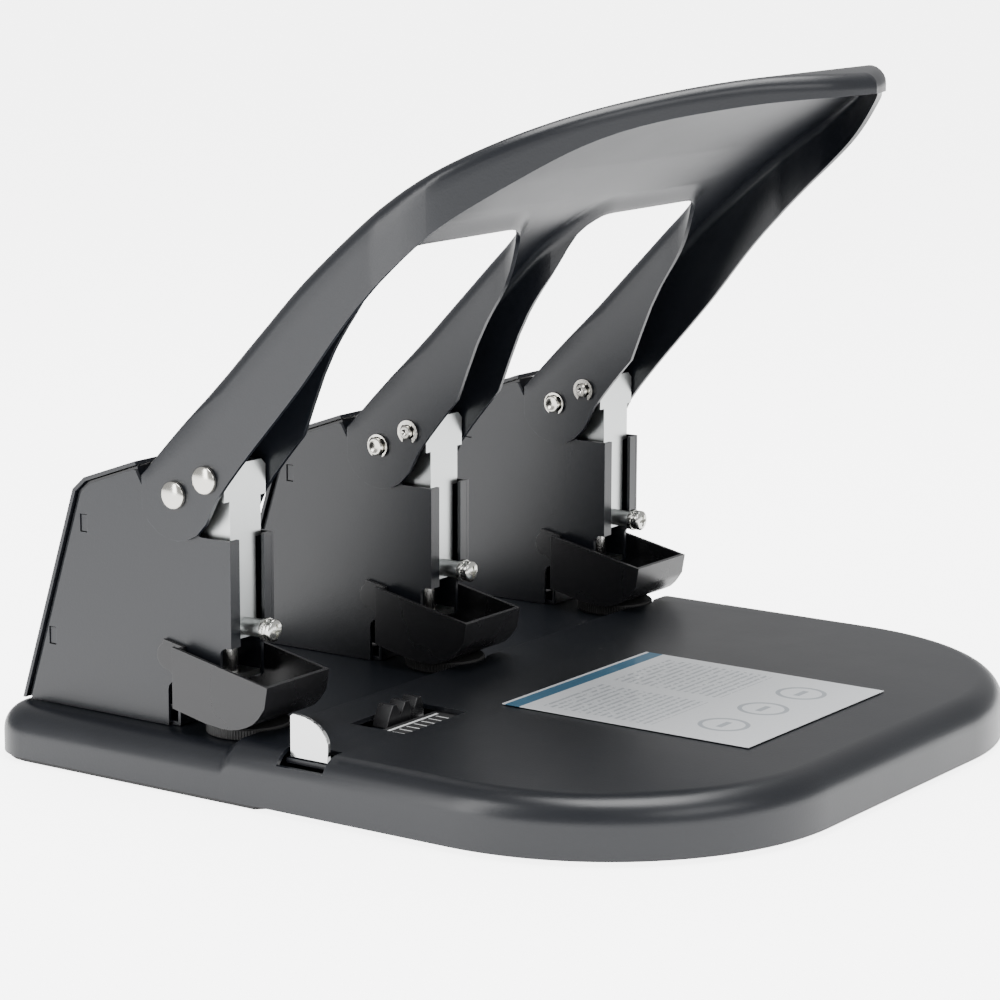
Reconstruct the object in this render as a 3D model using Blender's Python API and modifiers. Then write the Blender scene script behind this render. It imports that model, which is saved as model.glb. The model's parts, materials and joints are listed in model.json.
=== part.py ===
"""Three-head heavy duty paper punch: pressed base, three punch towers, one lever handle.

Sizes are millimetres and are turned into metres where a mesh is made.
X runs along the three heads, -Y is the front where the paper goes in, +Z is up.
The origin is the middle of the base's footprint on the table.
Depth positions "u" are measured backwards from the front face of the tower flanges.
"""
import math

import bmesh
import bpy
from mathutils import Matrix, Vector

MM = 0.001
GAP = 0.3
# Joined shapes overlap by SEAM, so that no two of their faces share a plane.
SEAM = 0.05

# Heads
HEAD_PITCH = 107.95
HEADS = (-1, 0, 1)

# Base pan
BASE_W = 265.0
BASE_D = 273.0
BASE_FRONT_R = 84.0
BASE_REAR_R = 16.0
BASE_EDGE_R = 9.0
BASE_WALL = 1.5
PAN_BOTTOM = 1.8
TABLE_Z = 21.0
DECK_Z = 17.8
STEP_U = -5.0
STEP_RUN = 5.0
REAR_OVERHANG = 95.0
FLANGE_Y = BASE_D / 2 - REAR_OVERHANG
LINER_H = 3.2
LINER_REAR_FRONT_U = -24.0
LINER_FRONT_REAR_U = -96.0
LINER_FRONT_INSET = 8.0

# Towers
TOWER_W = 22.0
PLATE_T = 1.2
FLANGE_W = 4.8
FLANGE_LOW = 46.8
LEDGE_Z = 81.7
THROAT_TOP = 33.0
THROAT_BACK_U = 26.3
TOWER_REAR_U = 86.0
PLATE_EAR_Z = 103.0
STRIP_T = 1.2

# Lever and drive
PIVOT_U = 20.7
PIVOT_Z = 94.8
PIVOT_R = 3.0
DRIVE_U = 7.9
DRIVE_Z = 101.0
DRIVE_R = 2.3
DRIVE_CLEAR = 0.45
DRIVE_SWING = 1.6
LOBE_R = 15.0
HANDLE_T = 1.5
LEG_CLEAR = 0.5
LEG_W = TOWER_W + 2 * (HANDLE_T + LEG_CLEAR)
HANDLE_SPAN = 2 * HEAD_PITCH + LEG_W
HANDLE_TIP_U = -162.0
WINDOW_FRONT_U = -44.5
TRIM_FRONT_U = -62.0
HEAD_R = 4.65
CLIP_R = 4.2
CLIP_T = 0.9

# Driver and punch pin
WEB_U = 2.6
WEB_T = 1.0
DRIVER_W = 15.5
SHOULDER_W = TOWER_W - PLATE_T
SHOULDER_Z = 93.8
DRIVER_TOP_Z = 105.4
TONGUE_W = 10.0
TONGUE_TOP_Z = 80.6
BLOCK_LOW = 48.5
BLOCK_HIGH = 58.0
BLOCK_BACK_U = 16.0
PIN_U = 10.5
PIN_R = 3.6
PIN_BORE_R = 2.3
PIN_LOW = 34.0
PIN_HIGH = 66.0
GUIDE_LOW = 34.1
GUIDE_T = 2.0

# Clamp screw
SCREW_Z = 52.2
SCREW_R = 1.6
SCREW_HEAD_R = 3.6
SCREW_HEAD_T = 2.2
SCREW_HEAD_U = -10.0
BOSS_R = 3.0
BOSS_FRONT_U = -4.8

# Chip tray
TRAY_REACH = 5.0
TRAY_W = TOWER_W + 2 * TRAY_REACH
TRAY_T = 1.2
TRAY_PIVOT_U = 25.0
TRAY_PIVOT_Z = 41.5
TRAY_PIVOT_R = 1.6
TRAY_LOBE_R = 4.6

# Cutting disc
DISC_U = 2.0
DISC_R = 13.8
DISC_T = 3.5
DISC_STEM_R = 3.0
DISC_STEM_LEN = 11.0

# Paper stop
STOP_U = 22.6
STOP_T = 1.2

# Side guide
GUIDE_X = -125.6
GUIDE_PLATE_T = 1.5
GUIDE_BACK_U = -29.4
GUIDE_SIZE = 14.8
GUIDE_BAR_Z = 16.3
GUIDE_BAR_T = 1.6
GUIDE_BAR_W = 17.0
RECESS_BACK_U = -27.0
RECESS_W = 22.0
RECESS_END_X = -113.0
RECESS_FLOOR = 14.0
WINDOW_X = (-92.0, -58.0)
WINDOW_U = (-48.5, -26.5)
THUMB_X = (-82.0, -62.0)
THUMB_U = (-34.0, -28.0)
THUMB_H = 4.2

# Label
LABEL_X = (-44.4, 43.4)
LABEL_U = (-146.6, -52.8)
LABEL_T = 0.3


def head_x(index):
    return index * HEAD_PITCH


def collection(name):
    group = bpy.data.collections.new(name)
    bpy.context.scene.collection.children.link(group)
    return group


def material(name, colour, roughness, metallic):
    mat = bpy.data.materials.new(name)
    mat.use_nodes = True
    shader = mat.node_tree.nodes["Principled BSDF"]
    shader.inputs["Base Color"].default_value = (*colour, 1.0)
    shader.inputs["Roughness"].default_value = roughness
    shader.inputs["Metallic"].default_value = metallic
    return mat


def add(name, mesh, mat=None, origin=(0, 0, 0)):
    """Put a mesh given in millimetres into the scene, with its origin at the given point."""
    shift = Vector(origin)
    mesh.transform(Matrix.Scale(MM, 4) @ Matrix.Translation(-shift))
    obj = bpy.data.objects.new(name, mesh)
    obj.location = shift * MM
    if mat is None:
        CUTTERS.objects.link(obj)
        obj.hide_render = True
        obj.display_type = "WIRE"
    else:
        PARTS.objects.link(obj)
        mesh.materials.append(mat)
    return obj


def bm_mesh(name, bm):
    bmesh.ops.recalc_face_normals(bm, faces=bm.faces)
    mesh = bpy.data.meshes.new(name)
    bm.to_mesh(mesh)
    bm.free()
    return mesh


def box_mesh(name, x, y, z):
    """A box from three (low, high) pairs."""
    bm = bmesh.new()
    bmesh.ops.create_cube(bm, size=1.0)
    size = Matrix.Diagonal((x[1] - x[0], y[1] - y[0], z[1] - z[0], 1.0))
    middle = Matrix.Translation([(pair[0] + pair[1]) / 2 for pair in (x, y, z)])
    bmesh.ops.transform(bm, matrix=middle @ size, verts=bm.verts)
    return bm_mesh(name, bm)


AXES = {
    "X": Matrix(((0, 0, 1, 0), (1, 0, 0, 0), (0, 1, 0, 0), (0, 0, 0, 1))),
    "Y": Matrix(((1, 0, 0, 0), (0, 0, 1, 0), (0, 1, 0, 0), (0, 0, 0, 1))),
    "Z": Matrix.Identity(4),
}


def rod_mesh(name, axis, radius, low, high, centre, sides=14):
    """A round bar along an axis; centre is its place in the other two coordinates."""
    bm = bmesh.new()
    bmesh.ops.create_cone(bm, cap_ends=True, segments=sides, radius1=radius, radius2=radius, depth=high - low)
    local = Matrix.Translation((centre[0], centre[1], (low + high) / 2))
    bmesh.ops.transform(bm, matrix=AXES[axis] @ local, verts=bm.verts)
    return bm_mesh(name, bm)


def flat_mesh(name, axis, outline, low, high):
    """A flat outline thickened along an axis, from a 2D curve whose two ends are then closed."""
    curve = bpy.data.curves.new(name, "CURVE")
    curve.dimensions = "2D"
    curve.fill_mode = "NONE"
    curve.extrude = (high - low) / 2
    spline = curve.splines.new("POLY")
    spline.points.add(len(outline) - 1)
    for point, (a, b) in zip(spline.points, outline):
        point.co = (a, b, 0, 1)
    spline.use_cyclic_u = True
    holder = bpy.data.objects.new(name, curve)
    bpy.context.scene.collection.objects.link(holder)
    bpy.context.view_layer.update()
    evaluated = holder.evaluated_get(bpy.context.evaluated_depsgraph_get())
    mesh = bpy.data.meshes.new_from_object(evaluated)
    bpy.data.objects.remove(holder)
    bpy.data.curves.remove(curve)
    bm = bmesh.new()
    bm.from_mesh(mesh)
    bpy.data.meshes.remove(mesh)
    bmesh.ops.remove_doubles(bm, verts=bm.verts, dist=0.0001)
    bmesh.ops.holes_fill(bm, edges=[edge for edge in bm.edges if edge.is_boundary])
    place = AXES[axis] @ Matrix.Translation((0, 0, (low + high) / 2))
    bmesh.ops.transform(bm, matrix=place, verts=bm.verts)
    return bm_mesh(name, bm)


def arc(centre, radius, start, end, steps):
    """Points along a circle from one angle in degrees to another."""
    turn = [math.radians(start + (end - start) * i / steps) for i in range(steps + 1)]
    return [(centre[0] + radius * math.cos(a), centre[1] + radius * math.sin(a)) for a in turn]


def filleted(corners, steps=3):
    """A closed outline from (a, b, radius) corners, each rounded by its radius."""
    points = []
    count = len(corners)
    for i, (a, b, radius) in enumerate(corners):
        here = Vector((a, b))
        if not radius:
            points.append((a, b))
            continue
        back = (Vector(corners[i - 1][:2]) - here).normalized()
        ahead = (Vector(corners[(i + 1) % count][:2]) - here).normalized()
        half = back.angle(ahead) / 2
        reach = radius / math.tan(half)
        middle = here + (back + ahead).normalized() * (radius / math.sin(half))
        start = here + back * reach - middle
        end = here + ahead * reach - middle
        sweep = start.angle_signed(end)
        for k in range(steps + 1):
            turn = Matrix.Rotation(-sweep * k / steps, 2)
            spot = middle + turn @ start
            points.append((spot.x, spot.y))
    return points


def smooth(points, steps):
    """A Catmull-Rom line through points."""
    ends = [points[0], *points, points[-1]]
    line = []
    for p0, p1, p2, p3 in zip(ends, ends[1:], ends[2:], ends[3:]):
        for k in range(steps):
            t = k / steps
            line.append(tuple(
                0.5 * (2 * b + (c - a) * t + (2 * a - 5 * b + 4 * c - d) * t * t
                       + (3 * b - a - 3 * c + d) * t ** 3)
                for a, b, c, d in zip(p0, p1, p2, p3)))
    return [*line, points[-1]]


def at_u(points):
    """Turn (u, z) points into world (y, z)."""
    return [(u + FLANGE_Y, z) for u, z in points]


def span_u(low, high):
    return (low + FLANGE_Y, high + FLANGE_Y)


def combine(obj, tool, operation):
    step = obj.modifiers.new(operation.title(), "BOOLEAN")
    step.operation = operation
    step.solver = "EXACT"
    step.object = tool
    return obj


def cut(obj, mesh):
    return combine(obj, add(mesh.name, mesh), "DIFFERENCE")


def join(obj, mesh):
    return combine(obj, add(mesh.name, mesh), "UNION")


def turned(name, profile, mat, axis, place, sides):
    """A turned piece: (radius, distance) profile from its top to its bottom, on an axis."""
    mesh = bpy.data.meshes.new(name)
    closed = profile[0] == profile[-1]
    verts = [(r, 0, s) for r, s in (profile[:-1] if closed else profile)]
    edges = [(i, i + 1) for i in range(len(verts) - 1)]
    if closed:
        edges.append((len(verts) - 1, 0))
    mesh.from_pydata(verts, edges, [])
    mesh.transform(Matrix.Scale(MM, 4))
    mesh.materials.append(mat)
    obj = bpy.data.objects.new(name, mesh)
    PARTS.objects.link(obj)
    obj.matrix_world = Matrix.Translation(Vector(place) * MM) @ axis
    screw = obj.modifiers.new("Screw", "SCREW")
    screw.steps = sides
    screw.render_steps = sides
    screw.use_merge_vertices = True
    screw.merge_threshold = 0.00001
    screw.use_smooth_shade = True
    return obj


def base_outline(inset):
    """The right half of the base's plan from the front middle to the rear middle."""
    half = BASE_W / 2 - inset
    front = -BASE_D / 2 + inset
    rear = BASE_D / 2 - inset
    front_r = BASE_FRONT_R - inset
    rear_r = BASE_REAR_R - inset
    step = FLANGE_Y + STEP_U
    points = arc((half - front_r, front + front_r), front_r, -90, 0, 10)
    points += [(half, step - STEP_RUN * (1 - i / 3)) for i in range(4)]
    points += arc((half - rear_r, rear - rear_r), rear_r, 0, 90, 5)
    return points


def rise(y):
    """0 on the rear deck, 1 on the table, with a soft step between."""
    t = (FLANGE_Y + STEP_U - y) / STEP_RUN
    t = min(1.0, max(0.0, t))
    return t * t * (3 - 2 * t)


def pan_block(name, inset, low, drop, edge_r):
    """The base's solid: plan outlines stacked up to a rounded edge, then ribs across the top."""
    levels = [(inset, low)]
    for k in range(5):
        a = math.radians(90 * k / 4)
        levels.append((inset + edge_r * (1 - math.cos(a)), DECK_Z - drop - edge_r * (1 - math.sin(a))))
    bm = bmesh.new()
    rings = []
    for level, (offset, z) in enumerate(levels):
        half = base_outline(offset)
        plan = half + [(-x, y) for x, y in reversed(half)]
        lift = TABLE_Z - DECK_Z if level else 0.0
        rings.append([bm.verts.new((x, y, z + lift * rise(y))) for x, y in plan])
    count = len(rings[0])
    for lower, upper in zip(rings, rings[1:]):
        for i in range(count):
            j = (i + 1) % count
            bm.faces.new((lower[i], lower[j], upper[j], upper[i]))
    for ring in (rings[0], rings[-1]):
        for i in range(count // 2 - 1):
            bm.faces.new((ring[i], ring[i + 1], ring[count - 2 - i], ring[count - 1 - i]))
    return bm_mesh(name, bm)


def build_base():
    pan = add("base_pan", pan_block("base_pan", 0, PAN_BOTTOM, 0, BASE_EDGE_R), BLACK_METAL)
    inner_r = BASE_EDGE_R - BASE_WALL
    cut(pan, pan_block("pan_hollow", BASE_WALL, PAN_BOTTOM - 5, BASE_WALL, inner_r))
    for index in HEADS:
        x = head_x(index)
        spot = (x, DISC_U + FLANGE_Y)
        cut(pan, rod_mesh(f"disc_pocket_{index}", "Z", DISC_R + 0.6, DECK_Z, TABLE_Z + 5, spot, 24))
        cut(pan, rod_mesh(f"stem_hole_{index}", "Z", DISC_STEM_R + GAP, 5, TABLE_Z + 5, spot, 12))
    recess = filleted([
        (RECESS_BACK_U - RECESS_W, RECESS_FLOOR, 0),
        (RECESS_BACK_U, RECESS_FLOOR, 3),
        (RECESS_BACK_U, TABLE_Z + 8, 0),
        (RECESS_BACK_U - RECESS_W, TABLE_Z + 8, 0)])
    cut(pan, flat_mesh("guide_recess", "X", at_u(recess), -BASE_W / 2 - 5, RECESS_END_X))
    window = [(x, u + FLANGE_Y, 2.0) for x, u in (
        (WINDOW_X[0], WINDOW_U[0]), (WINDOW_X[1], WINDOW_U[0]),
        (WINDOW_X[1], WINDOW_U[1]), (WINDOW_X[0], WINDOW_U[1]))]
    cut(pan, flat_mesh("scale_window", "Z", filleted(window), TABLE_Z - BASE_WALL - 2, TABLE_Z + 5))

    inset = BASE_WALL + GAP
    plan_half = base_outline(inset)
    plan = plan_half + [(-x, y) for x, y in reversed(plan_half)]
    rear_edge = LINER_REAR_FRONT_U + FLANGE_Y
    front_edge = LINER_FRONT_REAR_U + FLANGE_Y
    rear = [(x, max(y, rear_edge)) for x, y in plan if y > front_edge]
    rear = [p for p in rear if p[1] > rear_edge]
    side = BASE_W / 2 - inset
    rear_plan = [(-side + 6, rear_edge), (side - 6, rear_edge), (side, rear_edge + 6)]
    rear_plan += rear + [(-side, rear_edge + 6)]
    add("liner_rear", flat_mesh("liner_rear", "Z", rear_plan, 0, LINER_H), RUBBER)
    inset = BASE_WALL + LINER_FRONT_INSET
    side = BASE_W / 2 - inset
    front = [p for p in base_outline(inset) if p[1] < front_edge - 1.0] + [(side, front_edge)]
    front_plan = front + [(-x, y) for x, y in reversed(front)]
    add("liner_front", flat_mesh("liner_front", "Z", front_plan, 0, LINER_H), RUBBER)

    label = box_mesh("label", LABEL_X, span_u(*LABEL_U), (TABLE_Z + GAP, TABLE_Z + GAP + LABEL_T))
    add("label", label, PAPER_WHITE)
    strip_low = TABLE_Z - BASE_WALL - GAP - 0.8
    strip_x = (WINDOW_X[0] - 3, WINDOW_X[1] + 3)
    strip_u = (WINDOW_U[0] - 1, THUMB_U[0] - 1.5)
    strip = box_mesh("scale_strip", strip_x, span_u(*strip_u), (strip_low, strip_low + 0.8))
    add("scale_strip", strip, BLACK_PLASTIC)


def build_paper_guide():
    back = GUIDE_BACK_U
    foot = GUIDE_BAR_Z + GUIDE_BAR_T + GAP
    top = TABLE_Z + 11.2
    quarter = [(back, foot), (back, top - 0.8), (back - 1.0, top)]
    quarter += smooth([(back - 5.0, top - 2.2), (back - 10.2, top - 6.2), (back - GUIDE_SIZE, foot + 5.4)], 3)
    quarter += [(back - GUIDE_SIZE, foot)]
    origin = (GUIDE_X, back + FLANGE_Y, GUIDE_BAR_Z)
    plate_x = (GUIDE_X - GUIDE_PLATE_T / 2, GUIDE_X + GUIDE_PLATE_T / 2)
    add("guide_plate", flat_mesh("guide_plate", "X", at_u(quarter), *plate_x), CHROME, origin)
    bar_u = (back - GUIDE_BAR_W + 1, back + 1)
    bar_x = (GUIDE_X - 1.5, THUMB_X[1])
    bar_z = (GUIDE_BAR_Z, GUIDE_BAR_Z + GUIDE_BAR_T)
    add("guide_bar", box_mesh("guide_bar", bar_x, span_u(*bar_u), bar_z), BLACK_METAL, origin)
    rivet_place = (GUIDE_X + 8.0, back - 13.0 + FLANGE_Y, foot)
    rivet = [(0, 1.1), (1.6, 0.9), (2.0, 0.4), (2.0, 0), (0, 0)]
    turned("guide_rivet", rivet, CHROME, AXES["Z"], rivet_place, 14)
    thumb_low = foot
    thumb_top = TABLE_Z + THUMB_H
    ridges = [(THUMB_X[0], thumb_low), (THUMB_X[1], thumb_low), (THUMB_X[1], TABLE_Z)]
    count = 3
    pitch = (THUMB_X[1] - THUMB_X[0]) / count
    for k in range(count):
        right = THUMB_X[1] - k * pitch
        ridges += [(right - 0.2 * pitch, thumb_top), (right - 0.5 * pitch, thumb_top)]
        ridges += [(right - 0.85 * pitch, TABLE_Z)]
    thumb_y = span_u(*THUMB_U)
    add("guide_thumb", flat_mesh("guide_thumb", "Y", ridges, *thumb_y), BLACK_PLASTIC, origin)


def plate_outline():
    return filleted([
        (0, FLANGE_LOW, 0), (4.5, FLANGE_LOW, 2.5), (4.5, THROAT_TOP, 2), (THROAT_BACK_U, THROAT_TOP, 3),
        (THROAT_BACK_U, DECK_Z + GAP, 0), (TOWER_REAR_U, DECK_Z + GAP, 0), (62.2, 90.6, 3),
        (58.6, 93.6, 2), (39.0, 100.7, 1), (36.0, 95.6, 1), (31.0, 96.8, 0), (28.2, PLATE_EAR_Z, 3),
        (15.0, PLATE_EAR_Z - 0.5, 3), (13.5, LEDGE_Z, 2), (0, LEDGE_Z, 0)])


def slot_spots():
    return ((61.3, 80.5), (75.8, 41.0))


def build_tower(index):
    x = head_x(index)
    number = index + 2
    outer = TOWER_W / 2
    inner = outer - PLATE_T
    spots = slot_spots()
    for side, word in ((-1, "left"), (1, "right")):
        name = f"side_plate_{word}_{number}"
        faces = sorted((x + side * inner, x + side * outer))
        plate = add(name, flat_mesh(name, "X", at_u(plate_outline()), *faces), BLACK_METAL)
        lip = sorted((x + side * (outer - SEAM), x + side * (outer - FLANGE_W)))
        tall = (FLANGE_LOW + SEAM, LEDGE_Z - SEAM)
        flange = box_mesh(f"flange_{word}_{number}", lip, span_u(SEAM, PLATE_T), tall)
        join(plate, flange)
        reach = (faces[0] - 2, faces[1] + 2)
        for k, (u, z) in enumerate(spots):
            hole = box_mesh(f"slot_{k}_{word}_{number}", reach, span_u(u - 1.5, u + 1.5), (z - 3, z + 3))
            cut(plate, hole)
        pivot = (PIVOT_U + FLANGE_Y, PIVOT_Z)
        cut(plate, rod_mesh(f"pivot_hole_{word}_{number}", "X", PIVOT_R + GAP, *reach, pivot))
        tray = (TRAY_PIVOT_U + FLANGE_Y, TRAY_PIVOT_Z)
        cut(plate, rod_mesh(f"tray_hole_{word}_{number}", "X", TRAY_PIVOT_R + GAP, *reach, tray))

    name = f"back_strip_{number}"
    inside = [(88.4, DECK_Z + GAP), (64.7, 90.7), (60.3, 94.5), (38.6, 102.2)]
    outside = [(39.0, 102.2 + STRIP_T), (60.9, 95.7), (65.9, 91.3), (89.7, DECK_Z + GAP)]
    strip = add(name, flat_mesh(name, "X", at_u(inside + outside), x - outer, x + outer), BLACK_METAL)
    for k, (u, z) in enumerate(spots):
        rear = 88.6 - (z - DECK_Z) * 0.322
        rib = box_mesh(f"rib_{k}_{number}", (x - 4, x + 4), span_u(u, rear + 0.4), (z - 2.4, z + 2.4))
        join(strip, rib)
        bar = box_mesh(f"tie_{k}_{number}", (x - outer + 0.4, x + outer - 0.4),
                       span_u(u - 1.2, u + 1.2), (z - 2.7, z + 2.7))
        join(strip, bar)

    name = f"paper_stop_{number}"
    wide = inner - GAP
    elbow = [(STOP_U, DECK_Z + GAP), (STOP_U + 12, DECK_Z + GAP), (STOP_U + 12, DECK_Z + GAP + STOP_T),
             (STOP_U + STOP_T, DECK_Z + GAP + STOP_T), (STOP_U + STOP_T, THROAT_TOP - 1), (STOP_U, THROAT_TOP - 1)]
    add(name, flat_mesh(name, "X", at_u(elbow), x - wide, x + wide), BLACK_METAL)

    name = f"pin_guide_{number}"
    guide_u = span_u(4.9, 18.0)
    guide = add(name, box_mesh(name, (x - wide, x + wide), guide_u, (GUIDE_LOW, GUIDE_LOW + GUIDE_T)), ZINC)
    bore = rod_mesh(f"guide_bore_{number}", "Z", PIN_R + GAP, GUIDE_LOW - 2, GUIDE_LOW + 6, (x, PIN_U + FLANGE_Y))
    cut(guide, bore)


def build_driver(index):
    x = head_x(index)
    number = index + 2
    half = DRIVER_W / 2
    web_back = WEB_U + WEB_T
    tall = (TONGUE_TOP_Z + SEAM, DRIVER_TOP_Z - SEAM)
    origin = (x, PIN_U + FLANGE_Y, DRIVE_Z)
    name = f"driver_{number}"
    narrow = TONGUE_W / 2
    wide = SHOULDER_W / 2
    right = [(narrow, BLOCK_LOW), (narrow, TONGUE_TOP_Z), (half, TONGUE_TOP_Z), (half, SHOULDER_Z),
             (wide, SHOULDER_Z), (wide, DRIVER_TOP_Z - 2), (wide - 2, DRIVER_TOP_Z)]
    outline = [(x + a, z) for a, z in right] + [(x - a, z) for a, z in reversed(right)]
    driver = add(name, flat_mesh(name, "Y", outline, *span_u(WEB_U, web_back)), ZINC, origin)
    for side, word in ((-1, "left"), (1, "right")):
        faces = sorted((x + side * (half - SEAM), x + side * (half - PLATE_T)))
        wall = box_mesh(f"driver_wall_{word}_{number}", faces, span_u(WEB_U + SEAM, 14.2), tall)
        join(driver, wall)
    block = box_mesh(f"driver_block_{number}", (x - narrow + SEAM, x + narrow - SEAM),
                     span_u(WEB_U + SEAM, BLOCK_BACK_U), (BLOCK_LOW + SEAM, BLOCK_HIGH))
    join(driver, block)
    boss = rod_mesh(f"driver_boss_{number}", "Y", BOSS_R, BOSS_FRONT_U + FLANGE_Y, WEB_U + 0.5 + FLANGE_Y, (x, SCREW_Z))
    join(driver, boss)
    pin_bore = rod_mesh(f"driver_bore_{number}", "Z", PIN_R + GAP, BLOCK_LOW - 2, BLOCK_HIGH + 2, (x, PIN_U + FLANGE_Y))
    cut(driver, pin_bore)
    screw_bore = rod_mesh(f"screw_bore_{number}", "Y", SCREW_R + GAP, BOSS_FRONT_U - 2 + FLANGE_Y, PIN_U + FLANGE_Y,
                          (x, SCREW_Z), 14)
    cut(driver, screw_bore)
    reach = DRIVE_R + DRIVE_CLEAR
    low_u = DRIVE_U - DRIVE_SWING
    slot = arc((DRIVE_U + FLANGE_Y, DRIVE_Z), reach, -90, 90, 8)
    slot += arc((low_u + FLANGE_Y, DRIVE_Z), reach, 90, 270, 8)
    cut(driver, flat_mesh(f"drive_slot_{number}", "X", slot, x - half - 2, x + half + 2))

    pin = add(f"punch_pin_{number}", rod_mesh("punch_pin", "Z", PIN_R, PIN_LOW, PIN_HIGH,
                                             (x, PIN_U + FLANGE_Y), 16), STEEL, origin)
    cut(pin, rod_mesh(f"pin_bore_{number}", "Z", PIN_BORE_R, PIN_LOW - 2, PIN_HIGH + 2, (x, PIN_U + FLANGE_Y), 16))

    front = SCREW_HEAD_U
    shank_end = PIN_U - PIN_R - GAP
    back = front + SCREW_HEAD_T
    profile = [(0, -front), (SCREW_HEAD_R * 0.75, -front - 0.1), (SCREW_HEAD_R, -front - 0.9),
               (SCREW_HEAD_R, -back), (SCREW_R, -back), (SCREW_R, -shank_end), (0, -shank_end)]
    facing = Matrix.Rotation(math.radians(90), 4, "X")
    turned(f"clamp_screw_{number}", profile, ZINC, facing, (x, FLANGE_Y, SCREW_Z), 14)
    ring = [(SCREW_R + GAP, -back - GAP), (SCREW_HEAD_R - 0.2, -back - GAP),
            (SCREW_HEAD_R - 0.2, -back - 1.3), (SCREW_HEAD_R + 0.3, -back - 1.3),
            (SCREW_HEAD_R + 0.3, BOSS_FRONT_U * -1 + GAP), (SCREW_R + GAP, BOSS_FRONT_U * -1 + GAP),
            (SCREW_R + GAP, -back - GAP)]
    turned(f"screw_washer_{number}", ring, ZINC, facing, (x, FLANGE_Y, SCREW_Z), 14)


def build_pins(index):
    """Cross pins: the head is on the left at the first tower and on the right at the others."""
    x = head_x(index)
    number = index + 2
    side = -1 if index == HEADS[0] else 1
    outer = LEG_W / 2
    facing = Matrix.Rotation(math.radians(90 * side), 4, "Y")
    cheek = outer + GAP
    for word, u, z, radius, owner in (("pivot", PIVOT_U, PIVOT_Z, PIVOT_R, 0), ("drive", DRIVE_U, DRIVE_Z, DRIVE_R, 1)):
        dome = [(HEAD_R * math.sin(a), cheek + 0.9 + 1.3 * math.cos(a))
                for a in (math.radians(90 * k / 3) for k in range(4))]
        dome[0] = (0, dome[0][1])
        end = -(cheek + CLIP_T + 1.5)
        profile = dome + [(HEAD_R, cheek), (radius, cheek), (radius, end), (0, end)]
        place = (x, u + FLANGE_Y, z)
        turned(f"{word}_pin_{number}", profile, STEEL, facing, place, 14)
        near = -(cheek)
        far = -(cheek + CLIP_T)
        ring = [(radius + GAP, near), (CLIP_R, near), (CLIP_R, far), (radius + GAP, far), (radius + GAP, near)]
        turned(f"{word}_clip_{number}", ring, STEEL, facing, place, 14)


def build_spring(index):
    """A torsion spring around the pivot pin, with one arm back into the tower."""
    x = head_x(index)
    number = index + 2
    wire = 0.6
    coil_r = PIVOT_R + GAP + wire
    turns = 4
    steps = 10
    pitch = 2 * wire + 0.5
    curve = bpy.data.curves.new(f"return_spring_{number}", "CURVE")
    curve.dimensions = "3D"
    curve.bevel_depth = wire
    curve.bevel_resolution = 0
    curve.use_fill_caps = True
    points = []
    for k in range(turns * steps + 1):
        a = 2 * math.pi * k / steps
        points.append((x + pitch * (k / steps - turns / 2), PIVOT_U + coil_r * math.cos(a) + FLANGE_Y,
                       PIVOT_Z + coil_r * math.sin(a)))
    points.append((x + pitch * turns / 2, PIVOT_U + coil_r + FLANGE_Y, PIVOT_Z - 14.0))
    spline = curve.splines.new("POLY")
    spline.points.add(len(points) - 1)
    for point, spot in zip(spline.points, points):
        point.co = (*spot, 1)
    holder = bpy.data.objects.new("spring_guide", curve)
    bpy.context.scene.collection.objects.link(holder)
    bpy.context.view_layer.update()
    mesh = bpy.data.meshes.new_from_object(holder.evaluated_get(bpy.context.evaluated_depsgraph_get()))
    bpy.data.objects.remove(holder)
    bm = bmesh.new()
    bm.from_mesh(mesh)
    bpy.data.meshes.remove(mesh)
    bmesh.ops.remove_doubles(bm, verts=bm.verts, dist=0.0001)
    add(f"return_spring_{number}", bm_mesh("return_spring", bm), STEEL)


def tray_side(inset):
    """The tray's side: a sloping rim, a round nose and a floor that climbs to the back."""
    rim_front = (-18.4 + inset, 37.9)
    nose = smooth([(-17.2 + inset, 31.0), (-12.4 + inset * 0.8, 25.2 + inset * 0.6), (-3.4, 22.0 + inset),
                   (7.0, 22.7 + inset)], 3)
    rear = [(20.4, 25.6 + inset), (20.4, 45.8)]
    return [rim_front, *nose, *rear]


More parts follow.
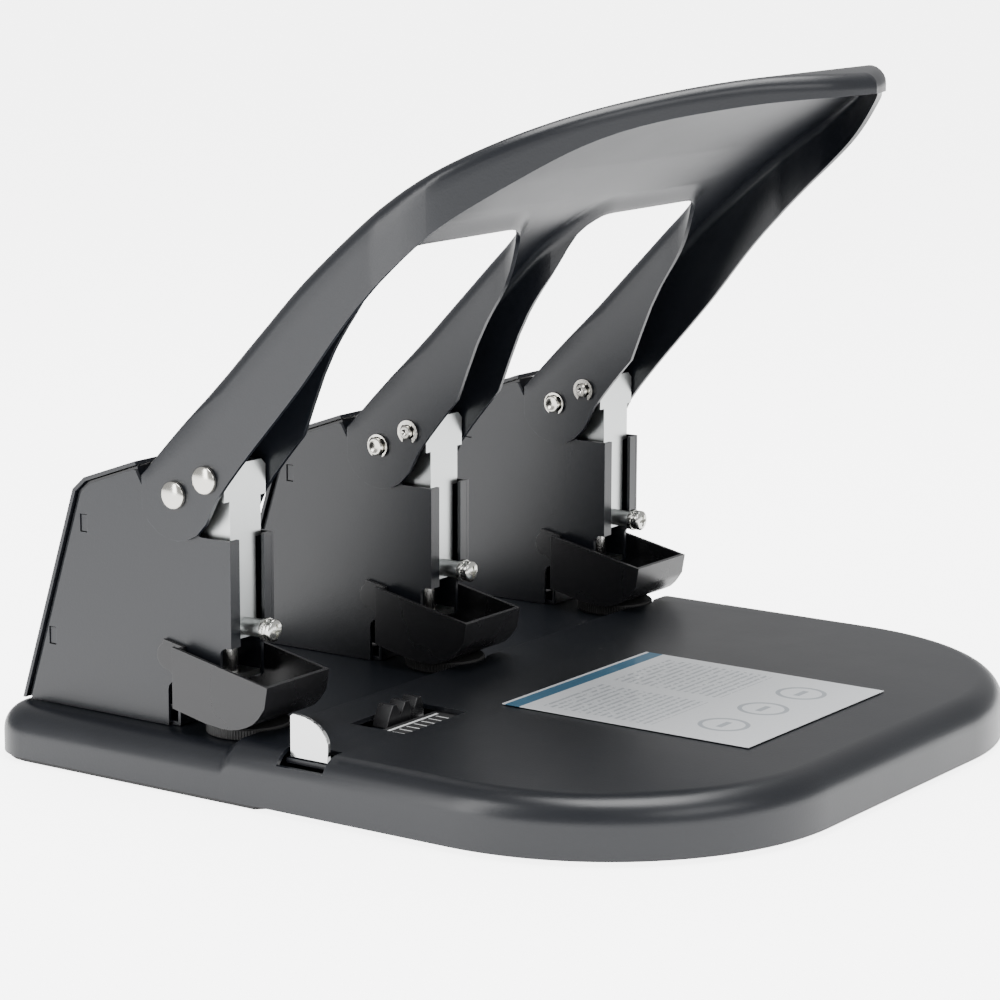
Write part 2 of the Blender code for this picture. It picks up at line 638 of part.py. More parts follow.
def build_tray(index):
    x = head_x(index)
    number = index + 2
    half = TRAY_W / 2
    name = f"chip_tray_{number}"
    origin = (x, TRAY_PIVOT_U + FLANGE_Y, TRAY_PIVOT_Z)
    tray = add(name, flat_mesh(name, "X", at_u(tray_side(0)), x - half, x + half), BLACK_PLASTIC, origin)
    hollow = tray_side(TRAY_T)
    hollow = [(hollow[0][0], 60.0), *hollow[:-2], (40.0, hollow[-2][1]), (40.0, 60.0)]
    inner = half - TRAY_T
    cut(tray, flat_mesh(f"tray_hollow_{number}", "X", at_u(hollow), x - inner, x + inner))
    slot = PIN_R + 1.0
    cut(tray, box_mesh(f"tray_slot_{number}", (x - slot, x + slot), span_u(PIN_U - slot, 40), (15, 30)))
    ear_in = TOWER_W / 2 + GAP
    for side, word in ((-1, "left"), (1, "right")):
        faces = sorted((x + side * ear_in, x + side * (ear_in + TRAY_T)))
        lobe = arc((TRAY_PIVOT_U, TRAY_PIVOT_Z), TRAY_LOBE_R, -90, 60, 6)
        ear = [(18.6, 45.4), (18.6, 33.0), *lobe, (27.0, 46.9)]
        join(tray, flat_mesh(f"tray_ear_{word}_{number}", "X", at_u(ear), *faces))
        web = sorted((x + side * (ear_in + SEAM), x + side * (half - SEAM)))
        join(tray, box_mesh(f"tray_web_{word}_{number}", web, span_u(18.62, 20.2), (26.5, 45.0)))
        stub = sorted((x + side * (ear_in + 0.3), x + side * (TOWER_W / 2 - PLATE_T)))
        join(tray, rod_mesh(f"tray_stub_{word}_{number}", "X", TRAY_PIVOT_R, *stub,
                            (TRAY_PIVOT_U + FLANGE_Y, TRAY_PIVOT_Z), 14))


def build_disc(index):
    x = head_x(index)
    number = index + 2
    low = DECK_Z + GAP
    top = low + DISC_T
    profile = [(0, top), (DISC_R - 0.5, top), (DISC_R, top - 0.5), (DISC_R, low), (DISC_STEM_R, low),
               (DISC_STEM_R, low - DISC_STEM_LEN + 1.5), (DISC_STEM_R - 1, low - DISC_STEM_LEN),
               (0, low - DISC_STEM_LEN)]
    turned(f"cutting_disc_{number}", profile, BLACK_PLASTIC, AXES["Z"], (x, DISC_U + FLANGE_Y, 0), 24)


def handle_top():
    """The handle's upper line from the tip to the rear of the legs."""
    return smooth([(-164.0, 229.0), (-140.0, 228.8), (-115.0, 222.0), (-90.0, 210.4), (-62.0, 193.6),
                   (-33.0, 169.8), (-13.0, 149.8), (8.0, 128.0), (34.5, 99.5)], 2)


def handle_low():
    """The lower line of the outer flanges from the leg's lobe to the tip."""
    return smooth([(-1.0, 101.0), (-10.0, 111.5), (-30.0, 134.0), (-50.0, 158.5), (-72.0, 180.0),
                   (-95.0, 197.5), (-118.0, 213.5), (-140.0, 220.5), (-164.0, 223.0)], 2)


def handle_plan(inset):
    """The handle seen from above: straight sides, then a blunt rounded point."""
    half = HANDLE_SPAN / 2 - inset
    tip = HANDLE_TIP_U + inset * 1.3
    shoulder = smooth([(half, -58.0), (half * 0.97, -80.0), (half * 0.86, -100.0), (half * 0.66, -120.0),
                       (half * 0.37, -139.0), (half * 0.14, tip + 6.0), (0, tip)], 2)
    right = [(half, 60.0), *shoulder[:-1]]
    return right + [(0, tip)] + [(-a, u) for a, u in reversed(right)]


def build_handle():
    origin = (0, PIVOT_U + FLANGE_Y, PIVOT_Z)
    half = HANDLE_SPAN / 2
    pivot = (PIVOT_U, PIVOT_Z)
    lobe = arc(pivot, LOBE_R, 20, -170, 10)
    side = handle_top()[:-1] + [(34.6, 99.9)] + lobe + handle_low()
    handle = add("handle", flat_mesh("handle", "X", at_u(side), -half, half), BLACK_METAL, origin)
    plan = at_plan(handle_plan(0))
    combine(handle, add("handle_plan", flat_mesh("handle_plan", "Z", plan, 40, 300)), "INTERSECT")

    top = handle_top()
    under = []
    for i, (u, z) in enumerate(top):
        before = top[max(i - 1, 0)]
        after = top[min(i + 1, len(top) - 1)]
        run = Vector((after[0] - before[0], after[1] - before[1])).normalized()
        under.append((u + run.y * HANDLE_T, z - run.x * HANDLE_T))
    hollow = [(-200.0, under[0][1]), *under, (60.0, under[-1][1] - 20), (60.0, 40.0), (-200.0, 40.0)]
    inner = half - HANDLE_T
    room = add("handle_room", flat_mesh("handle_room", "X", at_u(hollow), -inner, inner))
    plan_in = at_plan(handle_plan(HANDLE_T))
    combine(room, add("room_plan", flat_mesh("room_plan", "Z", plan_in, 30, 310)), "INTERSECT")
    for index in (-0.5, 0.5):
        middle = index * HEAD_PITCH
        reach = (HEAD_PITCH - LEG_W) / 2
        for grow, target in ((0.0, handle), (HANDLE_T, room)):
            wide = reach + grow
            front = WINDOW_FRONT_U - grow
            outline = filleted([(middle - wide, 90.0, 0), (middle + wide, 90.0, 0),
                                (middle + wide, front, 18 + grow), (middle - wide, front, 18 + grow)], 3)
            name = f"window_{int(index * 2)}_{target.name}"
            mesh = flat_mesh(name, "Z", at_plan(outline), 20, 320)
            cut(target, mesh)
    combine(handle, room, "DIFFERENCE")

    trim = smooth([(-10.0, 108.0), (-21.0, 136.0), (-33.0, 156.0), (-44.0, 176.0), (TRIM_FRONT_U, 184.0)], 2)
    trim += [(TRIM_FRONT_U, 60.0), (-10.0, 60.0)]
    cut(handle, flat_mesh("inner_trim", "X", at_u(trim), -inner + 0.05, inner - 0.05))
    for index in HEADS:
        x = head_x(index)
        reach = (x - LEG_W / 2 - 2, x + LEG_W / 2 + 2)
        for word, u, z, radius in (("pivot", PIVOT_U, PIVOT_Z, PIVOT_R), ("drive", DRIVE_U, DRIVE_Z, DRIVE_R)):
            name = f"leg_hole_{word}_{index}"
            cut(handle, rod_mesh(name, "X", radius + GAP, *reach, (u + FLANGE_Y, z)))


def at_plan(points):
    """Turn (x, u) points into world (x, y)."""
    return [(x, u + FLANGE_Y) for x, u in points]


for old in list(bpy.data.objects):
    bpy.data.objects.remove(old)

PARTS = collection("hole_punch")
CUTTERS = collection("cutters")
BLACK_METAL = material("black_powder_coat", (0.018, 0.020, 0.024), 0.38, 0.0)
BLACK_PLASTIC = material("black_plastic", (0.012, 0.012, 0.014), 0.35, 0.0)
RUBBER = material("liner_rubber", (0.02, 0.02, 0.02), 0.7, 0.0)
ZINC = material("zinc_plate", (0.72, 0.75, 0.74), 0.32, 1.0)
STEEL = material("bright_steel", (0.78, 0.77, 0.74), 0.18, 1.0)
CHROME = material("chrome", (0.85, 0.85, 0.85), 0.12, 1.0)
PAPER_WHITE = material("label_white", (0.80, 0.81, 0.82), 0.5, 0.0)

build_base()
build_paper_guide()
for head in HEADS:
    build_tower(head)
    build_driver(head)
    build_pins(head)
    build_spring(head)
    build_tray(head)
    build_disc(head)
build_handle()
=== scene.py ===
import json
import math

import bmesh
import bpy
from mathutils import Matrix, Vector


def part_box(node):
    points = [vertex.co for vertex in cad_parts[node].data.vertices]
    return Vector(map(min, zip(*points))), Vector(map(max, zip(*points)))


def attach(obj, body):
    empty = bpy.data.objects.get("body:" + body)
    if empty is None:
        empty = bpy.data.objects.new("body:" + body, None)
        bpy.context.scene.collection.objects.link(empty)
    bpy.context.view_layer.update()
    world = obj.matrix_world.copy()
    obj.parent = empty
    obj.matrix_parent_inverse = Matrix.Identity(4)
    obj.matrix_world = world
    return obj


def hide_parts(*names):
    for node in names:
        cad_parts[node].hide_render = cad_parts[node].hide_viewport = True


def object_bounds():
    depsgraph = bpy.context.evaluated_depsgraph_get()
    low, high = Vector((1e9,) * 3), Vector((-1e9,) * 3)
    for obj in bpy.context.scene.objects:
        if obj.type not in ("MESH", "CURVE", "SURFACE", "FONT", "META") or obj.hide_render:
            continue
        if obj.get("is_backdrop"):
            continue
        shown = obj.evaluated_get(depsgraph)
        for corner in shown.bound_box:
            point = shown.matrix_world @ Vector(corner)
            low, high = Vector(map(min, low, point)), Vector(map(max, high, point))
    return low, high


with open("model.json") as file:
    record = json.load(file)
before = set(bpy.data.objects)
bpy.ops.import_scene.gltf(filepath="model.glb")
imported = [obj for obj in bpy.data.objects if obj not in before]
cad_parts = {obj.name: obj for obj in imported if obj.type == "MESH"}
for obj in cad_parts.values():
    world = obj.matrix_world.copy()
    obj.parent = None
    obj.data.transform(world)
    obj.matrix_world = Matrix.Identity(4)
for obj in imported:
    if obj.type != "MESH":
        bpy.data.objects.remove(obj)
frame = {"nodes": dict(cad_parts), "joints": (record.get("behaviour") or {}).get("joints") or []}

cad_low, cad_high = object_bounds()
MM = 0.001

# --- Studio ------------------------------------------------------------------------------
# The punch stands on a pale sweep, which looks white and lights the punch only softly. A broad
# overhead softbox, a strip from the left and a weak front fill give satin metal its streaks.
AZIMUTH = -55.15
ELEVATION = 11.19
ROLL = 0.21

camera_data = bpy.data.cameras.new("camera")
camera_data.lens = 124.04
camera_data.sensor_width = 36.0
camera_data.clip_start = 0.05
camera = bpy.data.objects.new("camera", camera_data)
bpy.context.scene.collection.objects.link(camera)
turn = Matrix.Rotation(math.radians(AZIMUTH), 4, "Z")
tilt = Matrix.Rotation(math.radians(90 - ELEVATION), 4, "X")
roll = Matrix.Rotation(math.radians(ROLL), 4, "Z")
camera.matrix_world = Matrix.Translation((-0.94228, -0.63547, 0.30575)) @ turn @ tilt @ roll
bpy.context.scene.camera = camera

world = bpy.data.worlds.new("studio")
world.use_nodes = True
bpy.context.scene.world = world
world.node_tree.nodes["Background"].inputs["Color"].default_value = (1.0, 1.0, 1.0, 1.0)
world.node_tree.nodes["Background"].inputs["Strength"].default_value = 0.55


def softbox(name, place, aim, size, power):
    light = bpy.data.lights.new(name, "AREA")
    light.shape = "RECTANGLE"
    light.size, light.size_y = size
    light.energy = power
    lamp = bpy.data.objects.new(name, light)
    lamp.location = place
    lamp.rotation_euler = (Vector(place) - Vector(aim)).to_track_quat("Z", "Y").to_euler()
    bpy.context.scene.collection.objects.link(lamp)


middle = (0.0, 0.0, 0.08)
softbox("overhead", (0.1, -0.1, 1.3), middle, (1.1, 0.8), 26)
softbox("left_strip", (-1.2, 0.5, 0.6), middle, (0.35, 1.2), 10)
softbox("front_fill", (-0.3, -1.4, 0.9), middle, (0.9, 0.5), 5)

mesh = bpy.data.meshes.new("sweep")
bm = bmesh.new()
bmesh.ops.create_grid(bm, x_segments=1, y_segments=1, size=6.0)
bm.to_mesh(mesh)
bm.free()
sweep = bpy.data.objects.new("sweep", mesh)
bpy.context.scene.collection.objects.link(sweep)
paper = bpy.data.materials.new("sweep_paper")
paper.use_nodes = True
paper_shader = paper.node_tree.nodes["Principled BSDF"]
paper_shader.inputs["Roughness"].default_value = 0.9
paper_shader.inputs["Emission Strength"].default_value = 5.0
sight = paper.node_tree.nodes.new("ShaderNodeLightPath")
paper_glow = paper.node_tree.nodes.new("ShaderNodeMix")
paper_glow.data_type = "RGBA"
paper_glow.inputs["A"].default_value = (0.32, 0.32, 0.32, 1.0)
paper_glow.inputs["B"].default_value = (1.0, 1.0, 1.0, 1.0)
paper.node_tree.links.new(sight.outputs["Is Camera Ray"], paper_glow.inputs["Factor"])
paper.node_tree.links.new(paper_glow.outputs["Result"], paper_shader.inputs["Emission Color"])
paper_noise = paper.node_tree.nodes.new("ShaderNodeTexNoise")
paper_noise.inputs["Scale"].default_value = 3.0
paper_ramp = paper.node_tree.nodes.new("ShaderNodeMix")
paper_ramp.data_type = "RGBA"
paper_ramp.inputs["A"].default_value = (0.96, 0.96, 0.96, 1.0)
paper_ramp.inputs["B"].default_value = (0.98, 0.98, 0.98, 1.0)
paper.node_tree.links.new(paper_noise.outputs["Fac"], paper_ramp.inputs["Factor"])
paper.node_tree.links.new(paper_ramp.outputs["Result"], paper_shader.inputs["Base Color"])
sweep.data.materials.append(paper)
sweep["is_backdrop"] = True

# --- Base pan ----------------------------------------------------------------------------
# A tray pressed from one sheet of steel, with a soft round along its upper edge. The paper
# table in front stands a low step above the deck that carries the heads. It is powder coated.
HEADS = (1, 2, 3)
head_x = {n: (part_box(f"punch_pin_{n}")[0].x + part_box(f"punch_pin_{n}")[1].x) / 2 / MM for n in HEADS}
pan_low, pan_high = (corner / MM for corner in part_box("base_pan"))
flange_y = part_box("side_plate_left_1")[0].y / MM
joints = {joint["name"]: joint for joint in frame["joints"]}
disc_y = joints["disc_turn_1"]["pos_m"][1] / MM
disc_r = (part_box("cutting_disc_1")[1].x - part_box("cutting_disc_1")[0].x) / 2 / MM
FRONT_R = 84.0
REAR_R = 16.0
EDGE_R = 9.0
WALL = 1.5
STEP_DROP = 3.2
STEP_Y = flange_y - 5.0
STEP_RUN = 5.0
STEM_R = 3.0
DISC_GAP = 0.6
STEM_GAP = 0.3
SHARP_TURN = 32
table_z = pan_high.z


def socket_in(group, name, kind, value):
    socket = group.interface.new_socket(name=name, in_out="INPUT", socket_type=kind)
    socket.default_value = value


def edge_wear_and_highlight_group():
    """Where a surface turns sharply: a mask from 0 to 1 for worn finish and a painted highlight along the
    edge.
    """
    group = bpy.data.node_groups.new("edge_wear_and_highlight", "ShaderNodeTree")
    socket_in(group, "Width", "NodeSocketFloat", 0.0005)
    socket_in(group, "Breakup", "NodeSocketFloat", 300.0)
    socket_in(group, "Amount", "NodeSocketFloat", 0.5)
    group.interface.new_socket(name="Mask", in_out="OUTPUT", socket_type="NodeSocketFloat")
    new, link = group.nodes.new, group.links.new
    inside = new("NodeGroupInput")
    outside = new("NodeGroupOutput")
    bevel = new("ShaderNodeBevel")
    bevel.samples = 4
    geometry = new("ShaderNodeNewGeometry")
    dot = new("ShaderNodeVectorMath")
    dot.operation = "DOT_PRODUCT"
    sharp = new("ShaderNodeMapRange")
    sharp.inputs["From Min"].default_value = 0.995
    sharp.inputs["From Max"].default_value = 0.80
    place = new("ShaderNodeTexCoord")
    noise = new("ShaderNodeTexNoise")
    noise.inputs["Detail"].default_value = 4.0
    spread = new("ShaderNodeMapRange")
    spread.inputs["From Min"].default_value = 0.35
    spread.inputs["From Max"].default_value = 0.65
    product = new("ShaderNodeMath")
    product.operation = "MULTIPLY"
    scaled = new("ShaderNodeMath")
    scaled.operation = "MULTIPLY"
    link(inside.outputs["Width"], bevel.inputs["Radius"])
    link(bevel.outputs["Normal"], dot.inputs[0])
    link(geometry.outputs["Normal"], dot.inputs[1])
    link(dot.outputs["Value"], sharp.inputs["Value"])
    link(place.outputs["Object"], noise.inputs["Vector"])
    link(inside.outputs["Breakup"], noise.inputs["Scale"])
    link(noise.outputs["Fac"], spread.inputs["Value"])
    link(sharp.outputs["Result"], product.inputs[0])
    link(spread.outputs["Result"], product.inputs[1])
    link(product.outputs["Value"], scaled.inputs[0])
    link(inside.outputs["Amount"], scaled.inputs[1])
    link(scaled.outputs["Value"], outside.inputs["Mask"])
    return group


def surface_grain_group():
    """Fine texture and slow patches: a height for the bump and a value for the roughness."""
    group = bpy.data.node_groups.new("surface_grain", "ShaderNodeTree")
    socket_in(group, "Grain Scale", "NodeSocketFloat", 1500.0)
    socket_in(group, "Patch Scale", "NodeSocketFloat", 25.0)
    socket_in(group, "Rough Low", "NodeSocketFloat", 0.3)
    socket_in(group, "Rough High", "NodeSocketFloat", 0.4)
    socket_in(group, "Stretch", "NodeSocketVector", (1.0, 1.0, 1.0))
    for name in ("Height", "Roughness", "Patches"):
        group.interface.new_socket(name=name, in_out="OUTPUT", socket_type="NodeSocketFloat")
    new, link = group.nodes.new, group.links.new
    inside = new("NodeGroupInput")
    outside = new("NodeGroupOutput")
    place = new("ShaderNodeTexCoord")
    stretch = new("ShaderNodeVectorMath")
    stretch.operation = "MULTIPLY"
    fine = new("ShaderNodeTexNoise")
    fine.inputs["Detail"].default_value = 2.0
    slow = new("ShaderNodeTexNoise")
    slow.inputs["Detail"].default_value = 5.0
    rough = new("ShaderNodeMapRange")
    link(place.outputs["Object"], stretch.inputs[0])
    link(inside.outputs["Stretch"], stretch.inputs[1])
    link(stretch.outputs["Vector"], fine.inputs["Vector"])
    link(inside.outputs["Grain Scale"], fine.inputs["Scale"])
    link(place.outputs["Object"], slow.inputs["Vector"])
    link(inside.outputs["Patch Scale"], slow.inputs["Scale"])
    link(slow.outputs["Fac"], rough.inputs["Value"])
    link(inside.outputs["Rough Low"], rough.inputs["To Min"])
    link(inside.outputs["Rough High"], rough.inputs["To Max"])
    link(fine.outputs["Fac"], outside.inputs["Height"])
    link(rough.outputs["Result"], outside.inputs["Roughness"])
    link(slow.outputs["Fac"], outside.inputs["Patches"])
    return group


edge_wear_and_highlight = edge_wear_and_highlight_group()
surface_grain = surface_grain_group()


def surface(name, dark, light, worn_and_sheen, rough, grain, bump, wear_and_highlight, metallic=0.0, stretch=(1, 1, 1),
            coat=0.0):
    """A material whose colour drifts between two tones and turns to a third at sharp edges, which stands for
    wear and a painted highlight.
    """
    material = bpy.data.materials.new(name)
    material.use_nodes = True
    new, link = material.node_tree.nodes.new, material.node_tree.links.new
    shader = material.node_tree.nodes["Principled BSDF"]
    shader.inputs["Metallic"].default_value = metallic
    shader.inputs["Coat Weight"].default_value = coat
    shader.inputs["Coat Roughness"].default_value = 0.25
    texture = new("ShaderNodeGroup")
    texture.node_tree = surface_grain
    texture.inputs["Grain Scale"].default_value = grain
    texture.inputs["Rough Low"].default_value = rough[0]
    texture.inputs["Rough High"].default_value = rough[1]
    texture.inputs["Stretch"].default_value = stretch
    edges = new("ShaderNodeGroup")
    edges.node_tree = edge_wear_and_highlight
    edges.inputs["Amount"].default_value = wear_and_highlight
    tone = new("ShaderNodeMix")
    tone.data_type = "RGBA"
    tone.inputs["A"].default_value = (*dark, 1.0)
    tone.inputs["B"].default_value = (*light, 1.0)
    # the lighter edge colour is partly real wear and partly a painted highlight
    worn_edge_and_highlight = new("ShaderNodeMix")
    worn_edge_and_highlight.data_type = "RGBA"
    worn_edge_and_highlight.inputs["B"].default_value = (*worn_and_sheen, 1.0)
    texture_bump = new("ShaderNodeBump")
    texture_bump.inputs["Strength"].default_value = bump
    texture_bump.inputs["Distance"].default_value = 0.00005
    link(texture.outputs["Patches"], tone.inputs["Factor"])
    link(tone.outputs["Result"], worn_edge_and_highlight.inputs["A"])
    link(edges.outputs["Mask"], worn_edge_and_highlight.inputs["Factor"])
    link(worn_edge_and_highlight.outputs["Result"], shader.inputs["Base Color"])
    link(texture.outputs["Roughness"], shader.inputs["Roughness"])
    link(texture.outputs["Height"], texture_bump.inputs["Height"])
    link(texture_bump.outputs["Normal"], shader.inputs["Normal"])
    return material


def solid(name, bm):
    """Make an object from a bmesh in millimetres."""
    bmesh.ops.scale(bm, vec=(MM, MM, MM), verts=bm.verts)
    mesh = bpy.data.meshes.new(name)
    bm.to_mesh(mesh)
    bm.free()
    piece = bpy.data.objects.new(name, mesh)
    bpy.context.scene.collection.objects.link(piece)
    return piece


def put(name, bm, material, body, replaced=()):
    """Make a finished piece straight from a bmesh in millimetres."""
    piece = solid(name, bm)
    hand_over(piece, material, body, replaced)
    return piece


def hand_over(piece, material, body, replaced=()):
    """Paint a piece, shade it smooth, hang it on the empty of the body it rides on, and hide the CAD nodes
    it stands for.
    """
    piece.data.materials.clear()
    piece.data.materials.append(material)
    piece.data.shade_smooth()
    piece.data.set_sharp_from_angle(angle=math.radians(SHARP_TURN))
    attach(piece, body)
    if replaced:
        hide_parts(*replaced)


def arc(centre, radius, start, stop, count):
    """Points along a circle, between two angles in degrees."""
    angles = [math.radians(start + (stop - start) * k / count) for k in range(count + 1)]
    return [(centre[0] + radius * math.cos(a), centre[1] + radius * math.sin(a)) for a in angles]


def extruded(axis, outline, low, high):
    """A closed solid in millimetres: a flat outline drawn in the plane across one axis."""
    bm = bmesh.new()
    lift = {"X": lambda p, h: (h, p[0], p[1]),
            "Y": lambda p, h: (p[0], h, p[1]),
            "Z": lambda p, h: (p[0], p[1], h)}
    bottom = [bm.verts.new(lift[axis](p, low)) for p in outline]
    top = [bm.verts.new(lift[axis](p, high)) for p in outline]
    bm.faces.new(bottom[::-1])
    bm.faces.new(top)
    for i in range(len(outline)):
        j = (i + 1) % len(outline)
        bm.faces.new((bottom[i], bottom[j], top[j], top[i]))
    bmesh.ops.recalc_face_normals(bm, faces=bm.faces)
    return bm


def settle(piece):
    """Apply a piece's modifiers, so that its mesh is the finished one."""
    bpy.context.view_layer.update()
    done = bpy.data.meshes.new_from_object(piece.evaluated_get(bpy.context.evaluated_depsgraph_get()))
    piece.modifiers.clear()
    piece.data = done


def carve(target, tool):
    """Cut one solid out of another, and take the cutting solid away."""
    step = target.modifiers.new("carve", "BOOLEAN")
    step.operation = "DIFFERENCE"
    step.object = tool
    step.solver = "EXACT"
    settle(target)
    bpy.data.objects.remove(tool)


def bridge(bm, rings):
    """Join each closed ring of corners to the next with a band of faces."""
    for lower, upper in zip(rings, rings[1:]):
        for i in range(len(lower)):
            j = (i + 1) % len(lower)
            bm.faces.new((lower[i], lower[j], upper[j], upper[i]))


def pan_rings(inset, bottom, drop, edge_r, rounds):
    """The pan's outer or inner skin: plan outlines stacked up into a rounded edge."""
    half_w = pan_high.x - inset
    rings = []
    levels = [(0.0, bottom)]
    for k in range(rounds + 1):
        a = math.radians(90 * k / rounds)
        levels.append((edge_r * (1 - math.cos(a)), table_z - STEP_DROP - drop - edge_r * (1 - math.sin(a))))
    bm = bmesh.new()
    for level, (offset, z) in enumerate(levels):
        half = half_w - offset
        fr, rr = FRONT_R - inset - offset, REAR_R - inset - offset
        front, rear = pan_low.y + inset + offset, pan_high.y - inset - offset
        plan = arc((half - fr, front + fr), fr, -90, 0, 28)
        plan += [(half, STEP_Y - STEP_RUN + STEP_RUN * i / 9) for i in range(10)]
        plan += arc((half - rr, rear - rr), rr, 0, 90, 12)
        plan += [(-x, y) for x, y in reversed(plan)]
        ring = []
        for x, y in plan:
            t = min(1.0, max(0.0, (STEP_Y - y) / STEP_RUN))
            rise = STEP_DROP * t * t * (3 - 2 * t) if level else 0.0
            ring.append(bm.verts.new((x, y, z + rise)))
        rings.append(ring)
    bridge(bm, rings)
    count = len(rings[0])
    for ring in (rings[0], rings[-1]):
        for i in range(count // 2 - 1):
            bm.faces.new((ring[i], ring[i + 1], ring[count - 2 - i], ring[count - 1 - i]))
    bmesh.ops.recalc_face_normals(bm, faces=bm.faces)
    return bm


# the bluish grey at sharp edges and the lever's lips is worn paint together with a painted highlight
powder_coat = surface("powder_coat", dark=(0.0040, 0.0050, 0.0078), light=(0.0070, 0.0085, 0.0120),
                      worn_and_sheen=(0.07, 0.075, 0.085), rough=(0.28, 0.40),
                      grain=1400, bump=0.6, wear_and_highlight=0.45, coat=0.1)
pan = solid("pan_skin", pan_rings(0, pan_low.z, 0, EDGE_R, 12))
carve(pan, solid("pan_room", pan_rings(WALL, pan_low.z - 5, WALL, EDGE_R - WALL, 10)))
deck_z = table_z - STEP_DROP
for n in HEADS:
    spot = (head_x[n], disc_y)
    pocket = extruded("Z", arc(spot, disc_r + DISC_GAP, 0, 357, 119), deck_z, table_z + 5)
    carve(pan, solid("pocket", pocket))
    stem_hole = extruded("Z", arc(spot, STEM_R + STEM_GAP, 0, 350, 35), pan_low.z + 1, table_z + 5)
    carve(pan, solid("stem_hole", stem_hole))
guide_low, guide_high = (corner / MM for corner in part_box("guide_bar"))
thumb_low, thumb_high = (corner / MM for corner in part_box("guide_thumb"))
strip_low, strip_high = (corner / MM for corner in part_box("scale_strip"))
recess_end = thumb_low.x - 39
recess_floor = guide_low.z - 0.3
recess = [(pan_low.x - 5, recess_floor), (thumb_low.x - 42, recess_floor), (recess_end, guide_low.z + 3),
          (recess_end, table_z + 8), (pan_low.x - 5, table_z + 8)]
carve(pan, solid("recess", extruded("Y", recess, guide_low.y - 0.6, guide_high.y + 0.6)))
left, right, front, rear = strip_low.x + 3, strip_high.x - 3, strip_low.y + 1, thumb_high.y + 1.5
window = [(left, front), (right, front), (right, rear), (left, rear)]
carve(pan, solid("window", extruded("Z", window, table_z - 4, table_z + 5)))
hand_over(pan, powder_coat, "base", ("base_pan",))
pan.name = "pressed_pan"

# --- Liners ------------------------------------------------------------------------------
# Two moulded plastic pans clip up into the base from below. They keep the chips in, and their
# matt undersides stand on the desk.
liner_plastic = surface("liner_plastic", dark=(0.014, 0.014, 0.015), light=(0.022, 0.022, 0.023),
                        worn_and_sheen=(0.05, 0.05, 0.05), rough=(0.5, 0.62),
                        grain=900, bump=0.5, wear_and_highlight=0.3)


def relief(width, segments=2, angle=35):
    """A finish for a pressed or moulded node: welded corners, a small round, smooth shading."""
    def apply_to(node):
        weld = node.modifiers.new("weld", "WELD")
        weld.merge_threshold = 0.00001
        round_off = node.modifiers.new("round", "BEVEL")
        round_off.width = width * MM
        round_off.segments = segments
        round_off.limit_method = "ANGLE"
        round_off.angle_limit = math.radians(angle)
        round_off.use_clamp_overlap = True
        shade = node.modifiers.new("shade", "NODES")
        shade.node_group = smooth_shading
        flatten = node.modifiers.new("flatten", "WEIGHTED_NORMAL")
        flatten.keep_sharp = True
    return apply_to


def smooth_shading_group():
    """Shade faces smooth, apart from edges that turn more than thirty degrees."""
    group = bpy.data.node_groups.new("smooth_shading", "GeometryNodeTree")
    group.interface.new_socket(name="Geometry", in_out="INPUT", socket_type="NodeSocketGeometry")
    group.interface.new_socket(name="Geometry", in_out="OUTPUT", socket_type="NodeSocketGeometry")
    new, link = group.nodes.new, group.links.new
    inside = new("NodeGroupInput")
    outside = new("NodeGroupOutput")
    faces = new("GeometryNodeSetShadeSmooth")
    faces.domain = "FACE"
    edges = new("GeometryNodeSetShadeSmooth")
    edges.domain = "EDGE"
    angle = new("GeometryNodeInputMeshEdgeAngle")
    gentle = new("FunctionNodeCompare")
    gentle.data_type = "FLOAT"
    gentle.operation = "LESS_THAN"
    gentle.inputs["B"].default_value = math.radians(30)
    link(inside.outputs["Geometry"], faces.inputs["Geometry"])
    link(faces.outputs["Geometry"], edges.inputs["Geometry"])
    link(angle.outputs["Unsigned Angle"], gentle.inputs["A"])
    link(gentle.outputs["Result"], edges.inputs["Shade Smooth"])
    link(edges.outputs["Geometry"], outside.inputs["Geometry"])
    return group


smooth_shading = smooth_shading_group()
soft_edge = relief(0.35)


def dress(node, material, rounding=soft_edge):
    """Give a CAD node that keeps its own shape its finish and its rounded edges."""
    piece = frame["nodes"][node]
    piece.data.materials.clear()
    piece.data.materials.append(material)
    rounding(piece)


dress("liner_rear", liner_plastic)
dress("liner_front", liner_plastic)

# --- Label -------------------------------------------------------------------------------
# A printed paper label lies on the table: pale grey, a blue bar along its rear edge, rows of
# grey lines that stand for text, and three plain diagrams.
label_low, label_high = (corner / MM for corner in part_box("label"))


def band(shader_tree, source, low, high):
    """1 where a value lies between two limits, 0 elsewhere."""
    above = shader_tree.nodes.new("ShaderNodeMath")
    above.operation = "GREATER_THAN"
    above.inputs[1].default_value = low
    below = shader_tree.nodes.new("ShaderNodeMath")
    below.operation = "LESS_THAN"
    below.inputs[1].default_value = high
    both = shader_tree.nodes.new("ShaderNodeMath")
    both.operation = "MULTIPLY"
    shader_tree.links.new(source, above.inputs[0])
    shader_tree.links.new(source, below.inputs[0])
    shader_tree.links.new(above.outputs[0], both.inputs[0])
    shader_tree.links.new(below.outputs[0], both.inputs[1])
    return both.outputs[0]


def math_node(tree, operation, first, second):
    """One step of arithmetic over the surface; each side is a number or a socket."""
    node = tree.nodes.new("ShaderNodeMath")
    node.operation = operation
    for socket, value in zip(node.inputs, (first, second)):
        if isinstance(value, (int, float)):
            socket.default_value = value
        else:
            tree.links.new(value, socket)
    return node.outputs[0]


